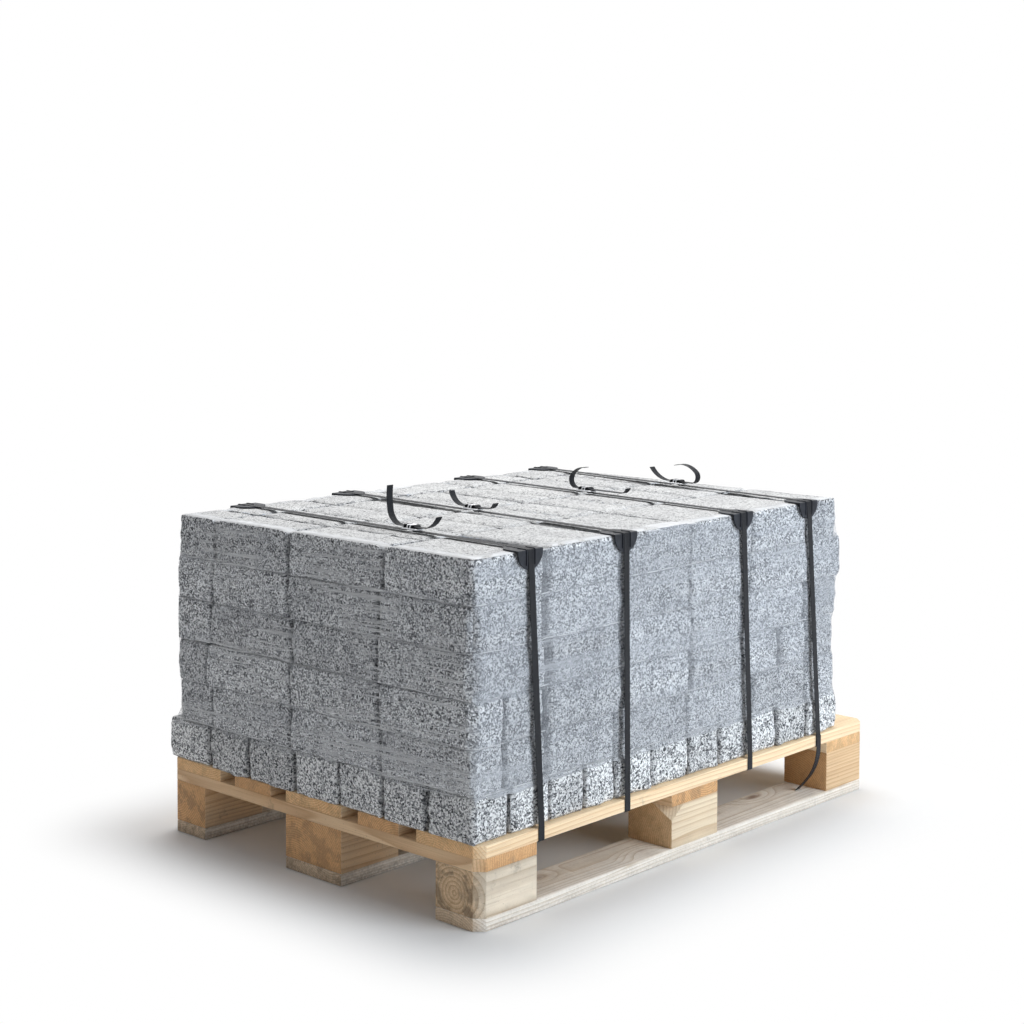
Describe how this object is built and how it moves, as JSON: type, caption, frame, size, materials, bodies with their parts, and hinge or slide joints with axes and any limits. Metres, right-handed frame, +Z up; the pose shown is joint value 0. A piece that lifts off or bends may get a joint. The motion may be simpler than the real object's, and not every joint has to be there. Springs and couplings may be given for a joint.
{
  "type": "pallet of granite setts",
  "caption": "Loaded pallet of split granite setts in bonded courses, wrapped in clear film and held by black straps with edge protectors and wire buckles.",
  "frame": {"origin": "on the floor under the middle of the pallet", "axes": "+X along the pallet's length, +Y across it, +Z up"},
  "size_m": [1.2075, 0.8042, 0.6983],
  "materials": {
    "softwood": "sawn softwood, partly weathered",
    "granite": "split granite, sawn on top",
    "clear_film": "clear polyethylene stretch film",
    "black_strap": "black polypropylene strap",
    "black_plastic": "black moulded plastic",
    "galvanised_wire": "galvanised wire"
  },
  "bodies": {
    "root": {"deck_board_1": "softwood", "deck_board_2": "softwood", "deck_board_3": "softwood", "deck_board_4": "softwood", "deck_board_5": "softwood", "stringer_board_1": "softwood", "stringer_board_2": "softwood", "stringer_board_3": "softwood", "block_left_front": "softwood", "block_left_middle": "softwood", "block_left_back": "softwood", "block_middle_front": "softwood", "block_middle_middle": "softwood", "block_middle_back": "softwood", "block_right_front": "softwood", "block_right_middle": "softwood", "block_right_back": "softwood", "bottom_board_1": "softwood", "bottom_board_2": "softwood", "bottom_board_3": "softwood", "setts_course_1": "granite", "setts_course_2": "granite", "setts_course_3": "granite", "setts_course_4": "granite", "setts_course_5": "granite", "setts_course_6": "granite", "stretch_film": "clear_film", "strap_1": "black_strap", "strap_2": "black_strap", "strap_3": "black_strap", "strap_4": "black_strap", "loose_strap_end": "black_strap", "corner_protector_front_1": "black_plastic", "corner_protector_front_2": "black_plastic", "corner_protector_front_3": "black_plastic", "corner_protector_front_4": "black_plastic", "corner_protector_back_1": "black_plastic", "corner_protector_back_2": "black_plastic", "corner_protector_back_3": "black_plastic", "corner_protector_back_4": "black_plastic", "wire_buckle_1": "galvanised_wire", "wire_buckle_2": "galvanised_wire", "wire_buckle_3": "galvanised_wire", "wire_buckle_4": "galvanised_wire"}
  },
  "joints": []
}
